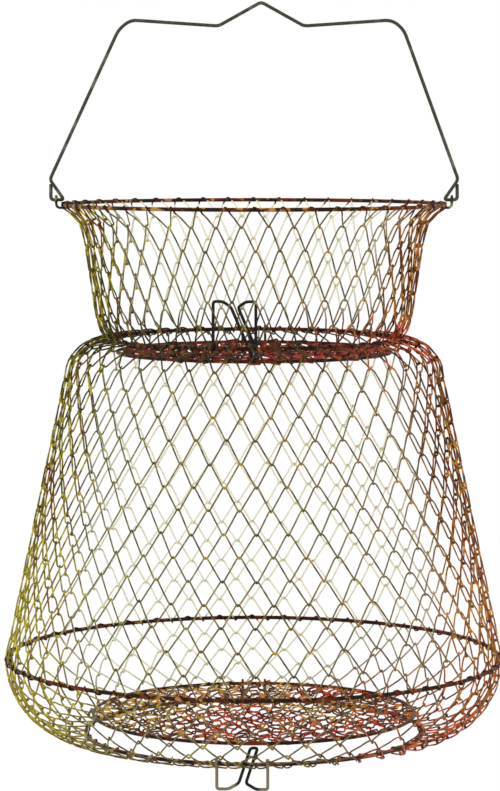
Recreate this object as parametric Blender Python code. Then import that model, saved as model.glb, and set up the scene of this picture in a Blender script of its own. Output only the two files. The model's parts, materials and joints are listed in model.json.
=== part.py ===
"""A collapsible wire fish basket: four hoops joined by linked-wire netting, hung from a wire bail.

The basket hangs along -Z below the peak of its bail, which is the origin. Its front, with both
latches, faces -Y. A sprung lid closes the neck and a plain door closes the base; each is a rim of
wire filled with netting, clipped to its ring at the back and stopped by a latch at the front.
"""

from math import atan2, cos, hypot, pi, radians, sin, sqrt

import bmesh
import bpy
from mathutils import Vector

MM = 0.001

# Wire sizes, as radii
HOOP_WIRE = 1.7 * MM
RIM_WIRE = 1.5 * MM
BAIL_WIRE = 1.5 * MM
LATCH_WIRE = 1.3 * MM
CLIP_WIRE = 1.1 * MM
SPRING_WIRE = 0.6 * MM
NET_WIRE = 0.8 * MM

# Clearances
SEAT_GAP = 0.3 * MM
TURNING_GAP = 0.45 * MM
TONGUE_GAP = 0.35 * MM
POST_GAP = 0.7 * MM
TONGUE_SEAT_GAP = 0.8 * MM

# Hoops, as the radii of their wire's centre line
TOP_HOOP_RADIUS = 160.5 * MM
NECK_RING_RADIUS = 122.5 * MM
WIDE_HOOP_RADIUS = 210.0 * MM
BASE_RING_RADIUS = 144.0 * MM

# Depths of the net walls, from hoop to hoop, and the places of the two closures
NECK_DEPTH = 113.5 * MM
BODY_DEPTH = 272.5 * MM
BASE_DEPTH = 64.5 * MM
LID_DROP = 11.0 * MM
DOOR_RISE = 16.0 * MM

# Net walls. The neck flares from its ring up to the top hoop, with a throat between them.
NET_COLUMNS = 22
NECK_ROWS = 3
BODY_ROWS = 8
BASE_ROWS = 3
THROAT_TOP_DROP = 20.0 * MM
THROAT_TOP_FLARE = 21.5 * MM
THROAT_LOW_RISE = 18.5 * MM
THROAT_LOW_FLARE = 9.0 * MM
SHOULDER_WIDTH = 36.0 * MM
SHOULDER_DROP = 30.0 * MM

# Nets of the lid and the door
CLOSURE_COLUMNS = 16
CLOSURE_ROWS = 3
CLOSURE_EYE_RADIUS = 14.0 * MM
CLOSURE_SAG = 1.5 * MM
CLOSURE_HALFWAY_SAG = 1.1 * MM

# Bail, from its pivot up to its peak
BAIL_HEIGHT = 166.0 * MM
BAIL_OFFSET = 6.0 * MM
BAIL_PIVOT_RISE = 4.0 * MM
BAIL_PEAK_RISE = 20.0 * MM
BAIL_PEAK_HALF_WIDTH = 36.0 * MM
BAIL_BAR_LIFT = 5.0 * MM
BAIL_BAR_HALF_WIDTH = 110.0 * MM
BAIL_SHOULDER_HALF_WIDTH = 120.0 * MM
BAIL_SHOULDER_DROP = 23.0 * MM
BAIL_KNEE_OVERHANG = 12.0 * MM
BAIL_KNEE_RISE = 17.0 * MM
BAIL_PIN_LENGTH = 11.3 * MM
BAIL_TAIL_LENGTH = 13.0 * MM
BAIL_BEND = 3.2 * MM

# Ears: how far each wraps under the hoop, and the waypoints of its rise to the eye, as shares of
# its outboard distance, the eye's radius and the wrap's radius
EAR_WRAP_START = 150
EAR_WRAP_END = 300
EAR_EYE_START = -65
EAR_EYE_END = -335
EAR_STEP = 30
EAR_RISE = ((0.62, 0.25, 0.86), (0.92, 0.75, 0.35))

# Latches
LID_LATCH_AZIMUTH = radians(-7.8)
LID_LATCH_HALF_WIDTH = 17.5 * MM
LID_LATCH_REACH = 38.0 * MM
LID_LATCH_DENT = 4.5 * MM
LID_TONGUE_LEAN = 17.2 * MM
DOOR_LATCH_AZIMUTH = radians(-4.0)
DOOR_LATCH_HALF_WIDTH = 20.8 * MM
DOOR_LATCH_REACH = 21.5 * MM
DOOR_LATCH_DENT = 5.0 * MM
DOOR_TONGUE_LEAN = 9.6 * MM
TONGUE_HALF_WIDTH = 2.9 * MM
MOUTH_RISE = 3.6 * MM
SHOULDER_SHARE = 0.55
LATCH_CURL = 255
LATCH_BEND = 2.4 * MM

# Hinge clips and the lid's spring
CLIP_HALF_SPACING = 10.0 * MM
SPRING_TURNS = 4
SPRING_PITCH = 2.2 * MM
SPRING_ARM = 24.0 * MM

# Fineness of the wires: points on a hoop, degrees for each point of a small curl, points on a
# corner and on a turn of the spring, and bevel resolutions, which give six and four sides
HOOP_POINTS = 60
CURL_STEP = 24
CORNER_STEPS = 4
SHOULDER_STEPS = 8
SPRING_POINTS = 12
ROUND_WIRE = 1
THIN_WIRE = 0

# Places that follow from the sizes
RIM_INSET = HOOP_WIRE + RIM_WIRE + 2 * (LATCH_WIRE + TONGUE_GAP)
LID_RIM_RADIUS = NECK_RING_RADIUS - RIM_INSET
DOOR_RIM_RADIUS = BASE_RING_RADIUS - RIM_INSET
TOP_HOOP_Z = -BAIL_HEIGHT - BAIL_PIVOT_RISE
NECK_RING_Z = TOP_HOOP_Z - NECK_DEPTH
LID_RIM_Z = NECK_RING_Z - LID_DROP
WIDE_HOOP_Z = NECK_RING_Z - BODY_DEPTH
BASE_RING_Z = WIDE_HOOP_Z - BASE_DEPTH
DOOR_RIM_Z = BASE_RING_Z + DOOR_RISE
NET_SEAT = HOOP_WIRE + NET_WIRE + SEAT_GAP
NET_PHASE = LID_LATCH_AZIMUTH
HALF_COLUMN = pi / NET_COLUMNS
BASKET_X = -BAIL_OFFSET
BACK = pi


def clear_scene():
    for obj in list(bpy.data.objects):
        bpy.data.objects.remove(obj, do_unlink=True)


def finish(name, colour, metallic, roughness):
    material = bpy.data.materials.new(name)
    material.use_nodes = True
    shader = material.node_tree.nodes["Principled BSDF"]
    shader.inputs["Base Color"].default_value = (*colour, 1.0)
    shader.inputs["Metallic"].default_value = metallic
    shader.inputs["Roughness"].default_value = roughness
    return material


def carrier(name, place, parent=None):
    """An empty on a body's joint axis, which carries the body's pieces."""
    empty = bpy.data.objects.new(name, None)
    bpy.context.scene.collection.objects.link(empty)
    empty["place"] = list(place)
    empty.parent = parent
    empty.location = Vector(place) - (Vector(parent["place"]) if parent else Vector())
    return empty


def attach(obj, body, material):
    bpy.context.scene.collection.objects.link(obj)
    obj.parent = body
    obj.data.materials.append(material)
    return obj


def wire(name, body, points, radius, material, closed=False, sides=ROUND_WIRE):
    """A round wire along points, which are world places."""
    origin = Vector(body["place"])
    curve = bpy.data.curves.new(name, "CURVE")
    curve.dimensions = "3D"
    curve.bevel_depth = radius
    curve.bevel_resolution = sides
    curve.use_fill_caps = True
    spline = curve.splines.new("POLY")
    spline.points.add(len(points) - 1)
    for point, place in zip(spline.points, points):
        point.co = (*(Vector(place) - origin), 1.0)
    spline.use_cyclic_u = closed
    spline.use_smooth = True
    return attach(bpy.data.objects.new(name, curve), body, material)


def rounded(points, cut):
    """The same route with each inner corner rounded, starting cut before it."""
    points = [Vector(p) for p in points]
    route = [points[0]]
    for before, corner, after in zip(points, points[1:], points[2:]):
        reach_in = min(cut, (before - corner).length / 2)
        reach_out = min(cut, (after - corner).length / 2)
        start = corner + (before - corner).normalized() * reach_in
        end = corner + (after - corner).normalized() * reach_out
        for step in range(CORNER_STEPS + 1):
            t = step / CORNER_STEPS
            route.append(start.lerp(corner, t).lerp(corner.lerp(end, t), t))
    route.append(points[-1])
    return route


def smooth_route(points, steps):
    """A smooth curve through every point."""
    points = [Vector(p) for p in points]
    ends = [2 * points[0] - points[1]] + points + [2 * points[-1] - points[-2]]
    route = []
    for a, b, c, d in zip(ends, ends[1:], ends[2:], ends[3:]):
        for step in range(steps):
            t = step / steps
            bend = (2 * a - 5 * b + 4 * c - d) * t**2 + (3 * b - a - 3 * c + d) * t**3
            route.append((2 * b + (c - a) * t + bend) / 2)
    route.append(points[-1])
    return route


def local_frame(azimuth, radius, height):
    """Maps (along, outward, up) at a point of a hoop to the world. Azimuth 0 is the front."""
    outward = Vector((sin(azimuth), -cos(azimuth), 0))
    along = Vector((cos(azimuth), sin(azimuth), 0))
    centre = Vector((BASKET_X, 0, height)) + outward * radius

    def to_world(u, v, w):
        return centre + along * u + outward * v + Vector((0, 0, w))

    return to_world


def bow(radius, u):
    """How far outward a hoop lies of its own tangent, u along it: a negative distance."""
    return sqrt(radius**2 - u**2) - radius


def hoop(name, body, radius, height, wire_radius, material):
    points = []
    for step in range(HOOP_POINTS):
        angle = 2 * pi * step / HOOP_POINTS
        points.append((BASKET_X + radius * cos(angle), radius * sin(angle), height))
    return wire(name, body, points, wire_radius, material, closed=True)


def spaced(profile, count):
    """count + 1 places on the profile, evenly spaced along it."""
    lengths = [0.0]
    for (r0, z0), (r1, z1) in zip(profile, profile[1:]):
        lengths.append(lengths[-1] + hypot(r1 - r0, z1 - z0))
    places = []
    for step in range(count + 1):
        want = lengths[-1] * step / count
        index = 0
        while index < len(lengths) - 2 and lengths[index + 1] < want:
            index += 1
        share = (want - lengths[index]) / (lengths[index + 1] - lengths[index])
        (r0, z0), (r1, z1) = profile[index], profile[index + 1]
        places.append((r0 + (r1 - r0) * share, z0 + (z1 - z0) * share))
    return places


def net(name, body, profile, columns, rows, phase, material):
    """A turned wall of diamond mesh between the ends of profile, which lists (radius, height)."""
    origin = Vector(body["place"])
    mesh = bmesh.new()
    rings = []
    for row, (radius, height) in enumerate(spaced(profile, rows)):
        ring = []
        for column in range(columns):
            angle = phase + 2 * pi * (column + row / 2) / columns
            place = Vector((BASKET_X + radius * sin(angle), -radius * cos(angle), height))
            ring.append(mesh.verts.new(place - origin))
        rings.append(ring)
    for row in range(rows - 1):
        for column in range(columns):
            left = rings[row + 1][column - 1]
            right = rings[row + 1][column]
            low = rings[row + 2][column - 1]
            mesh.faces.new((rings[row][column], left, low, right))
    bmesh.ops.recalc_face_normals(mesh, faces=mesh.faces)
    data = bpy.data.meshes.new(name)
    mesh.to_mesh(data)
    mesh.free()
    obj = attach(bpy.data.objects.new(name, data), body, material)
    strands = obj.modifiers.new("strands", "WIREFRAME")
    strands.thickness = 2 * NET_WIRE
    strands.use_boundary = True
    strands.use_even_offset = False
    return obj


def neck_profile():
    """From under the top hoop, in to the throat, and in again to the neck ring."""
    return [
        (TOP_HOOP_RADIUS, TOP_HOOP_Z - NET_SEAT),
        (NECK_RING_RADIUS + THROAT_TOP_FLARE, TOP_HOOP_Z - THROAT_TOP_DROP),
        (NECK_RING_RADIUS + THROAT_LOW_FLARE, NECK_RING_Z + THROAT_LOW_RISE),
        (NECK_RING_RADIUS, NECK_RING_Z + NET_SEAT),
    ]


def body_profile():
    """A round shoulder out from the neck ring, then a slope out to the wide hoop."""
    start = NECK_RING_RADIUS + NET_SEAT
    points = []
    for step in range(SHOULDER_STEPS + 1):
        turn = pi / 2 * step / SHOULDER_STEPS
        radius = start + (SHOULDER_WIDTH - NET_SEAT) * sin(turn)
        points.append((radius, NECK_RING_Z - SHOULDER_DROP * (1 - cos(turn))))
    points.append((WIDE_HOOP_RADIUS, WIDE_HOOP_Z + NET_SEAT))
    return points


def base_profile():
    """A quarter turn under the basket, from the wide hoop in to the base ring."""
    end = BASE_RING_RADIUS + NET_SEAT
    start_height = WIDE_HOOP_Z - NET_SEAT
    points = []
    for step in range(SHOULDER_STEPS + 1):
        turn = pi / 2 * step / SHOULDER_STEPS
        radius = end + (WIDE_HOOP_RADIUS - end) * cos(turn)
        points.append((radius, start_height - (start_height - BASE_RING_Z) * sin(turn)))
    return points


def closure_profile(rim_radius, height):
    """From the edge of the disc inside its rim to the edge of the small eye at its middle."""
    edge = rim_radius - RIM_WIRE - NET_WIRE - SEAT_GAP
    return [
        (edge, height),
        ((edge + CLOSURE_EYE_RADIUS) / 2, height - CLOSURE_HALFWAY_SAG),
        (CLOSURE_EYE_RADIUS, height - CLOSURE_SAG),
    ]


def closure_net(name, body, rim_radius, height, material):
    """The slightly sagging disc of mesh inside a rim."""
    profile = closure_profile(rim_radius, height)
    return net(name, body, profile, CLOSURE_COLUMNS, CLOSURE_ROWS, 0.0, material)


def bail_side(side):
    """Half of the bail, from the foot of its peak to the end of its tail. side is -1 or 1."""
    pivot = Vector((BASKET_X, 0, TOP_HOOP_Z + BAIL_PIVOT_RISE))

    def at_top(across, drop):
        return Vector((side * across, 0, -drop))

    def at_hoop(outboard, back, up):
        return pivot + Vector((side * (TOP_HOOP_RADIUS + outboard), back, up))

    return [
        at_top(BAIL_PEAK_HALF_WIDTH, BAIL_PEAK_RISE),
        at_top(BAIL_BAR_HALF_WIDTH, BAIL_PEAK_RISE - BAIL_BAR_LIFT),
        at_top(BAIL_SHOULDER_HALF_WIDTH, BAIL_SHOULDER_DROP),
        at_hoop(BAIL_KNEE_OVERHANG, 0, BAIL_KNEE_RISE),
        at_hoop(0, 0, 0),
        at_hoop(BAIL_PIN_LENGTH, 0, 0),
        at_hoop(BAIL_PIN_LENGTH, 2 * BAIL_WIRE + SEAT_GAP, BAIL_TAIL_LENGTH),
    ]


def make_bail(body, material):
    """One bent wire: peak, level bar, splayed legs, and a triangular eye at each end."""
    left = [*reversed(bail_side(-1))]
    points = left + [Vector((0, 0, 0))] + bail_side(1)
    return wire("bail", body, rounded(points, BAIL_BEND), BAIL_WIRE, material)


def make_ear(name, side, body, material):
    """A wire that wraps under the top hoop and stands up in an eye around the bail's pin."""
    wrap = HOOP_WIRE + SEAT_GAP + CLIP_WIRE
    eye = BAIL_WIRE + TURNING_GAP + CLIP_WIRE
    outboard = BAIL_PIN_LENGTH - BAIL_BEND - CLIP_WIRE - SEAT_GAP
    points = []
    for degrees in range(EAR_WRAP_START, EAR_WRAP_END + 1, EAR_STEP):
        turn = radians(degrees)
        points.append((wrap * cos(turn), 0, wrap * sin(turn)))
    for across, forward, down in EAR_RISE:
        points.append((across * outboard, -forward * eye, -down * wrap))
    for degrees in range(EAR_EYE_START, EAR_EYE_END - 1, -EAR_STEP):
        turn = radians(degrees)
        points.append((outboard, eye * sin(turn), BAIL_PIVOT_RISE - eye * cos(turn)))
    places = []
    for u, v, w in smooth_route(points, 2):
        places.append((BASKET_X + side * (TOP_HOOP_RADIUS + u), v, TOP_HOOP_Z + w))
    return wire(name, body, places, CLIP_WIRE, material)


def tongue_seat(ring_radius, half_width, lean, rim_radius, rim_offset):
    """Where the end of the tongue lies, (outward, up): on the line from the latch's pivot to
    the rim's wire, so that the rim presses straight at the pivot and can't turn the latch."""
    pivot = bow(ring_radius, half_width)
    rim = rim_radius - ring_radius + bow(rim_radius, lean) - pivot
    span = hypot(rim, rim_offset)
    reach = span - RIM_WIRE - LATCH_WIRE - TONGUE_SEAT_GAP
    return pivot + rim * reach / span, -rim_offset * reach / span


def latch_route(ring_radius, half_width, reach, dent, lean, rim_radius, rim_offset):
    """One spring wire bent to an M with a long tongue, in (along, outward, up) for a latch
    that stands up. It starts and ends in curls around the ring, on which it turns."""
    curl = HOOP_WIRE + TURNING_GAP + LATCH_WIRE
    pivot = bow(ring_radius, half_width)
    post = pivot - curl
    behind_post = post - 2 * LATCH_WIRE - POST_GAP
    foot = []
    for degrees in range(LATCH_CURL, 0, -CURL_STEP):
        turn = radians(degrees)
        foot.append(Vector((-half_width, pivot - curl * cos(turn), -curl * sin(turn))))
    frame = [
        Vector((-half_width, post, 0)),
        Vector((-half_width, post, reach)),
        Vector((-half_width * SHOULDER_SHARE, post, reach)),
        Vector((-TONGUE_HALF_WIDTH, post, reach - dent)),
    ]
    seat = tongue_seat(ring_radius, half_width, lean, rim_radius, rim_offset)
    tip = Vector((lean - TONGUE_HALF_WIDTH, *seat))
    leaned = lean * (reach - dent - MOUTH_RISE) / (reach - dent - tip.z)
    mouth = Vector((leaned - TONGUE_HALF_WIDTH, behind_post, MOUTH_RISE))
    across = Vector((2 * TONGUE_HALF_WIDTH, 0, 0))
    tongue = [mouth, tip, tip + across, mouth + across]
    other_frame = [Vector((-p.x, p.y, p.z)) for p in reversed(frame)]
    other_foot = [Vector((-p.x, p.y, p.z)) for p in reversed(foot)]
    return [*foot, *rounded([*frame, *tongue, *other_frame], LATCH_BEND), *other_foot]


def make_latch(name, body, azimuth, ring_radius, ring_z, way, sizes, material):
    """way is 1 for a latch that stands up over its ring, and -1 for one that hangs below it."""
    to_world = local_frame(azimuth, ring_radius, ring_z)
    places = [to_world(u, v, way * w) for u, v, w in latch_route(ring_radius, *sizes)]
    return wire(name, body, places, LATCH_WIRE, material)


def rim_hinge(rim_radius, rim_height):
    """Where a rim turns in its clips: on its own wire, at the clips."""
    back = rim_radius + bow(rim_radius, CLIP_HALF_SPACING)
    return Vector((BASKET_X, back, rim_height))


def make_clip(name, side, body, ring_radius, ring_z, rim_radius, rim_z, material):
    """A closed oval of wire around the ring and the rim together."""
    to_world = local_frame(BACK, ring_radius, ring_z)
    bend = max(HOOP_WIRE + SEAT_GAP, RIM_WIRE + TURNING_GAP) + CLIP_WIRE
    along = side * CLIP_HALF_SPACING
    start = Vector((bow(ring_radius, along), 0))
    end = Vector((rim_radius - ring_radius + bow(rim_radius, along), rim_z - ring_z))
    lie = atan2(end.y - start.y, end.x - start.x)
    places = []
    for centre, first in ((end, lie - pi / 2), (start, lie + pi / 2)):
        for degrees in range(0, 181, EAR_STEP):
            angle = first + radians(degrees)
            spot = centre + bend * Vector((cos(angle), sin(angle)))
            places.append(to_world(along, spot.x, spot.y))
    return wire(name, body, places, CLIP_WIRE, material, closed=True)


def make_lid_spring(body, material):
    """A torsion spring coiled round the lid rim between the clips. One end hooks over the neck
    ring, and the other arm lies under the lid's net."""
    to_world = local_frame(BACK, NECK_RING_RADIUS, NECK_RING_Z)
    coil = RIM_WIRE + TURNING_GAP + SPRING_WIRE
    hook = HOOP_WIRE + SEAT_GAP + SPRING_WIRE
    rim = -RIM_INSET
    half = SPRING_TURNS * SPRING_PITCH / 2
    route = [
        Vector((-half, hook, -hook)),
        Vector((-half, hook, hook / 2)),
        Vector((-half, hook / 2, hook)),
        Vector((-half, -hook / 2, hook)),
        Vector((-half, -hook, hook / 2)),
    ]
    last = SPRING_TURNS * SPRING_POINTS + SPRING_POINTS // 4
    for step in range(last + 1):
        turn = 2 * pi * step / SPRING_POINTS
        along = -half + SPRING_PITCH * step / SPRING_POINTS
        out = rim + bow(LID_RIM_RADIUS, along)
        route.append(Vector((along, out + coil * cos(turn), -LID_DROP - coil * sin(turn))))
    (edge, height), (halfway, low), _ = closure_profile(LID_RIM_RADIUS, -LID_DROP)
    end = LID_RIM_RADIUS - SPRING_ARM
    under = height + (low - height) * (edge - end) / (edge - halfway)
    under -= NET_WIRE + SEAT_GAP + SPRING_WIRE
    route.append(Vector((route[-1].x, rim - SPRING_ARM, under)))
    places = [to_world(*point) for point in route]
    return wire("lid_spring", body, places, SPRING_WIRE, material, sides=THIN_WIRE)


def build():
    clear_scene()
    steel = finish("bail_steel", (0.42, 0.42, 0.41), 1.0, 0.38)
    dark = finish("hoop_wire", (0.11, 0.075, 0.05), 0.9, 0.45)
    spring_steel = finish("latch_wire", (0.16, 0.15, 0.14), 1.0, 0.4)
    brass = finish("net_brass", (0.46, 0.33, 0.12), 1.0, 0.42)
    copper = finish("net_copper", (0.36, 0.15, 0.09), 1.0, 0.45)

    def on_axis(height):
        return Vector((BASKET_X, 0, height))

    root = carrier("bail_frame", (0, 0, 0))
    top = carrier("top_frame", on_axis(TOP_HOOP_Z + BAIL_PIVOT_RISE), root)
    neck = carrier("neck_frame", on_axis(NECK_RING_Z), top)
    wide = carrier("wide_frame", on_axis(WIDE_HOOP_Z), neck)
    base = carrier("base_frame", on_axis(BASE_RING_Z), wide)
    lid = carrier("lid_frame", rim_hinge(LID_RIM_RADIUS, LID_RIM_Z), neck)
    door = carrier("door_frame", rim_hinge(DOOR_RIM_RADIUS, DOOR_RIM_Z), base)

    neck_spot = (LID_LATCH_AZIMUTH, NECK_RING_RADIUS, NECK_RING_Z)
    pivot = local_frame(*neck_spot)(0, bow(NECK_RING_RADIUS, LID_LATCH_HALF_WIDTH), 0)
    lid_latch = carrier("lid_latch_frame", pivot, neck)
    base_spot = (DOOR_LATCH_AZIMUTH, BASE_RING_RADIUS, BASE_RING_Z)
    pivot = local_frame(*base_spot)(0, bow(BASE_RING_RADIUS, DOOR_LATCH_HALF_WIDTH), 0)
    door_latch = carrier("door_latch_frame", pivot, base)

    make_bail(root, steel)
    make_ear("bail_ear_left", -1, top, dark)
    make_ear("bail_ear_right", 1, top, dark)
    # The knots of neck and body meet at the neck ring, and those of the base lie between the body's.
    neck_phase = NET_PHASE - HALF_COLUMN * NECK_ROWS
    base_phase = NET_PHASE + HALF_COLUMN
    hoop("top_hoop", top, TOP_HOOP_RADIUS, TOP_HOOP_Z, HOOP_WIRE, dark)
    net("neck_net", top, neck_profile(), NET_COLUMNS, NECK_ROWS, neck_phase, brass)
    hoop("neck_ring", neck, NECK_RING_RADIUS, NECK_RING_Z, HOOP_WIRE, dark)
    net("body_net", neck, body_profile(), NET_COLUMNS, BODY_ROWS, NET_PHASE, brass)
    hoop("wide_hoop", wide, WIDE_HOOP_RADIUS, WIDE_HOOP_Z, HOOP_WIRE, dark)
    net("base_net", wide, base_profile(), NET_COLUMNS, BASE_ROWS, base_phase, copper)
    hoop("base_ring", base, BASE_RING_RADIUS, BASE_RING_Z, HOOP_WIRE, dark)
    hoop("lid_rim", lid, LID_RIM_RADIUS, LID_RIM_Z, RIM_WIRE, dark)
    closure_net("lid_net", lid, LID_RIM_RADIUS, LID_RIM_Z, copper)
    hoop("door_rim", door, DOOR_RIM_RADIUS, DOOR_RIM_Z, RIM_WIRE, dark)
    closure_net("door_net", door, DOOR_RIM_RADIUS, DOOR_RIM_Z, copper)
    neck_rings = (NECK_RING_RADIUS, NECK_RING_Z, LID_RIM_RADIUS, LID_RIM_Z)
    base_rings = (BASE_RING_RADIUS, BASE_RING_Z, DOOR_RIM_RADIUS, DOOR_RIM_Z)
    for side, word in ((1, "left"), (-1, "right")):
        make_clip(f"lid_clip_{word}", side, neck, *neck_rings, dark)
        make_clip(f"door_clip_{word}", side, base, *base_rings, dark)
    make_lid_spring(neck, steel)
    handle = (LID_LATCH_HALF_WIDTH, LID_LATCH_REACH, LID_LATCH_DENT)
    sizes = (*handle, LID_TONGUE_LEAN, LID_RIM_RADIUS, LID_DROP)
    make_latch("lid_latch", lid_latch, *neck_spot, 1, sizes, spring_steel)
    handle = (DOOR_LATCH_HALF_WIDTH, DOOR_LATCH_REACH, DOOR_LATCH_DENT)
    sizes = (*handle, DOOR_TONGUE_LEAN, DOOR_RIM_RADIUS, DOOR_RISE)
    make_latch("door_latch", door_latch, *base_spot, -1, sizes, spring_steel)


build()
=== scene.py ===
"""The finished look of a collapsible wire fish basket.

Each wire of the basket is modelled as a round tube along its own route, and each net as rows of
zigzag wire that link into one another and wrap around the hoops that they hang between.
"""

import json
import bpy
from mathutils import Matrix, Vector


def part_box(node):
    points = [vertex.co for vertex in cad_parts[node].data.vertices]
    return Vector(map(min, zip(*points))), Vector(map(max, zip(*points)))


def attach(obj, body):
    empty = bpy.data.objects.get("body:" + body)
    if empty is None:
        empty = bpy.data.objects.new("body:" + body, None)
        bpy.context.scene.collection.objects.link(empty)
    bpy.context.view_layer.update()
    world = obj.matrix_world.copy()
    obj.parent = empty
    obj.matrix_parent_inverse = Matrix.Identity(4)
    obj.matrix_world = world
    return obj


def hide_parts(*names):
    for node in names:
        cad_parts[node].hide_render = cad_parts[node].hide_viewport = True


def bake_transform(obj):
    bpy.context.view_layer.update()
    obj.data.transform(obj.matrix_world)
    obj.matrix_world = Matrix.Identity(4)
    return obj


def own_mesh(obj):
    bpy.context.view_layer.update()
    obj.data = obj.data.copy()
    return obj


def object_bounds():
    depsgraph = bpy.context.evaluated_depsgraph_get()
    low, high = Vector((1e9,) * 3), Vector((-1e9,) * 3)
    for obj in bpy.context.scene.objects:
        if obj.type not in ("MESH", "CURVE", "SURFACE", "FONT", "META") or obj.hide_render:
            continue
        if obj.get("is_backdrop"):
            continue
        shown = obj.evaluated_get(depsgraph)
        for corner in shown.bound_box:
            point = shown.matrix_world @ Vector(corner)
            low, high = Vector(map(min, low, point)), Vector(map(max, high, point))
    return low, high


bl_info = {
    "name": "Wire Fish Basket",
    "version": (1, 0, 0),
    "blender": (4, 5, 0),
    "location": "3D View > Sidebar > Fish Basket",
    "description": "Models the hoops, nets, bail and latches of a collapsible wire fish basket",
    "category": "Add Mesh",
}

from math import atan2, cos, hypot, pi, radians, sin, sqrt
from random import Random

import bpy
from mathutils import Vector

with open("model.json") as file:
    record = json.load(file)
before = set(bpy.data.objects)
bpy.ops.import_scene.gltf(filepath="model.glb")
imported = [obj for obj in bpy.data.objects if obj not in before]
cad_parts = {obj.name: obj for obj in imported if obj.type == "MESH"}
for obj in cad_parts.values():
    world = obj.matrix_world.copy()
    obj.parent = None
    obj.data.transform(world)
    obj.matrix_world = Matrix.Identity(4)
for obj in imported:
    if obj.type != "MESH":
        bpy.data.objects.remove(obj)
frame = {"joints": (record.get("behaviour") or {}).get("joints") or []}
CAD_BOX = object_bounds()

MM = 0.001
CORNER_STEPS = 8
CURL_STEP = 15
COIL_POINTS = 24
HOOP_POINTS = 240

# Azimuth of the hinges, from the front.
BACK = pi

# How far a row of the lid's or the door's net may be shifted, in half columns.
ROW_SHIFT = 0.3

# The body that each hoop and rim is part of.
HOOP_BODIES = {
    "top_hoop": "top",
    "neck_ring": "neck",
    "wide_hoop": "wide",
    "base_ring": "base",
    "lid_rim": "lid",
    "door_rim": "door",
}

# Where a place of a net's wire lies, as its material reads it: on a wrap around a hoop, in a
# bend, at the end of a bend, or on a leg that rises or falls to the right, seen from outside.
WRAP = 0.0
BEND = 0.5
BEND_END = 0.8
RISING_LEG = 1.0
FALLING_LEG = 2.0


def size(label, millimetres, description):
    return bpy.props.FloatProperty(
        name=label, description=description, default=millimetres * MM, min=0.0, unit="LENGTH"
    )


def count(label, number, description):
    return bpy.props.IntProperty(name=label, description=description, default=number, min=1)


def share(label, value, description):
    return bpy.props.FloatProperty(
        name=label, description=description, default=value, min=0.0, max=1.0, subtype="FACTOR"
    )


def turn(label, degrees, description):
    return bpy.props.FloatProperty(
        name=label, description=description, default=radians(degrees), subtype="ANGLE"
    )


def colour(label, values, description):
    return bpy.props.FloatVectorProperty(
        name=label, description=description, default=values, size=3, min=0.0, max=1.0,
        subtype="COLOR",
    )


class WireSizes(bpy.types.PropertyGroup):
    """Radii of the wires and the clearances between them."""

    hoop: size("Hoop wire", 1.7, "Radius of the wire of the four hoops")
    rim: size("Rim wire", 1.5, "Radius of the wire of the two rims")
    bail: size("Bail wire", 1.5, "Radius of the bail's wire")
    latch: size("Latch wire", 1.3, "Radius of the latches' wire")
    clip: size("Clip wire", 1.1, "Radius of the wire of the clips and ears")
    spring: size("Spring wire", 0.6, "Radius of the lid spring's wire")
    net: size("Net wire", 0.72, "Radius of the wire of the net walls")
    closure: size("Lid and door wire", 0.76, "Radius of the wire of their nets")
    seat_gap: size("Seat gap", 0.3, "Clearance of a wire that rests on another")
    turning_gap: size("Turning gap", 0.45, "Clearance of a wire that turns on another")
    post_gap: size("Post gap", 0.7, "Clearance between a latch's tongue and its posts")
    tongue_gap: size("Tongue gap", 0.8, "Clearance between a latch's tongue and its rim")


class NetSizes(bpy.types.PropertyGroup):
    """The rows and columns of the nets."""

    columns: count("Columns", 44, "Diamonds around each net wall")
    neck_rows: count("Neck rows", 6, "Rows of zigzag wire in the neck")
    body_rows: count("Body rows", 16, "Rows of zigzag wire in the body")
    base_rows: count("Base rows", 7, "Rows of zigzag wire under the basket")
    closure_pitch: size("Closure pitch", 8.6, "Distance of the rows in the lid and the door")
    closure_column: size("Closure column", 18.0, "Width of a diamond in the lid and the door")
    closure_depth: size("Closure link depth", 1.2, "How far their legs lie off the middle")
    closure_stray: size("Closure unevenness", 1.6, "How far a link strays in the lid and the door")
    phase: turn("Phase", -7.8, "Where the first column lies, from the front")
    thickness: size("Link depth", 1.9, "How far each leg lies off the middle of a wall")
    top_bend: share("Top bend", 0.26, "Share of half a column that a top bend takes")
    low_bend: share("Low bend", 0.08, "Share of half a column that a low bend takes")
    unevenness: size("Unevenness", 0.7, "How far a link strays from its place")
    throat_top_drop: size("Throat top drop", 20.0, "From the top hoop down to the throat")
    throat_top_flare: size("Throat top flare", 21.5, "Throat's top, outside the neck ring")
    throat_low_rise: size("Throat low rise", 18.5, "From the neck ring up to the throat")
    throat_low_flare: size("Throat low flare", 9.0, "Throat's bottom, outside the neck ring")
    shoulder_width: size("Shoulder width", 36.0, "How far the shoulder reaches out")
    shoulder_drop: size("Shoulder drop", 30.0, "How far the shoulder reaches down")
    sag: size("Sag", 1.5, "How deep the middle of lid and door sags")


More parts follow.
